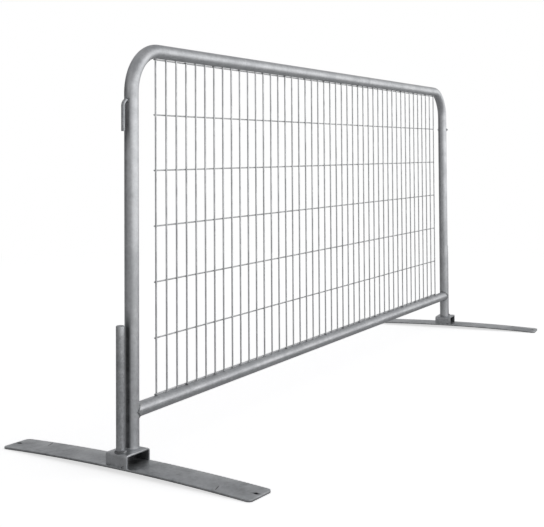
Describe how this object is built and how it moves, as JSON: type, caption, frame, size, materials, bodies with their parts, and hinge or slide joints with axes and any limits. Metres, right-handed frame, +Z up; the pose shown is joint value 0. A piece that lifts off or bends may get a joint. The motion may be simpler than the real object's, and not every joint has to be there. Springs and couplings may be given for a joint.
{
  "type": "crowd control barrier",
  "caption": "Free-standing crowd control barrier: a bent tube hoop filled with welded wire, a coupling hook and eye, and flat arched feet that lift off and swivel.",
  "frame": {"origin": "on the ground, at the middle of the barrier's footprint", "axes": "+Z up, +X along the barrier from the hook's end to the eye's end, +Y to the back, where the lengthwise wires are"},
  "size_m": [2.6386, 0.8332, 1.106],
  "materials": {
    "tube_zinc": "hot-dip galvanised, soft sheen",
    "wire_zinc": "hot-dip galvanised wire, satin",
    "rod_zinc": "hot-dip galvanised rod, satin, scuffed",
    "plate_zinc": "hot-dip galvanised plate, dull grey, scuffed",
    "weld_zinc": "galvanised weld bead, dull"
  },
  "bodies": {
    "panel": {"hoop": "tube_zinc", "bottom_rail": "tube_zinc", "rail_weld_left": "weld_zinc", "rail_weld_right": "weld_zinc", "upright_wires": "wire_zinc", "line_wire_1": "wire_zinc", "line_wire_2": "wire_zinc", "line_wire_3": "wire_zinc", "line_wire_4": "wire_zinc", "line_wire_5": "wire_zinc", "line_wire_6": "wire_zinc", "line_wire_7": "wire_zinc", "top_tacks": "weld_zinc", "bottom_tacks": "weld_zinc", "hook": "rod_zinc", "hook_weld": "weld_zinc", "eye": "rod_zinc", "eye_weld": "weld_zinc"},
    "seat_left": {"seat_ring_left": "rod_zinc"},
    "foot_left": {"foot_bar_left": "plate_zinc", "saddle_left": "plate_zinc", "saddle_tacks_left": "weld_zinc", "leg_spigot_left": "rod_zinc", "leg_spigot_weld_left": "weld_zinc", "spare_spigot_left": "rod_zinc", "spare_spigot_weld_left": "weld_zinc"},
    "seat_right": {"seat_ring_right": "rod_zinc"},
    "foot_right": {"foot_bar_right": "plate_zinc", "saddle_right": "plate_zinc", "saddle_tacks_right": "weld_zinc", "leg_spigot_right": "rod_zinc", "leg_spigot_weld_right": "weld_zinc", "spare_spigot_right": "rod_zinc", "spare_spigot_weld_right": "weld_zinc"}
  },
  "joints": [
    {"name": "lift_left", "type": "slide", "parent": "panel", "child": "seat_left", "axis": [0, 0, -1], "range_m": [0, 0.33]},
    {"name": "swivel_left", "type": "hinge", "parent": "seat_left", "child": "foot_left", "pos_m": [-1.22045, 0, 0.049], "axis": [0, 0, 1], "range_deg": [-130, 140]},
    {"name": "lift_right", "type": "slide", "parent": "panel", "child": "seat_right", "axis": [0, 0, -1], "range_m": [0, 0.33]},
    {"name": "swivel_right", "type": "hinge", "parent": "seat_right", "child": "foot_right", "pos_m": [1.21355, 0, 0.049], "axis": [0, 0, 1], "range_deg": [-141, 129]}
  ]
}
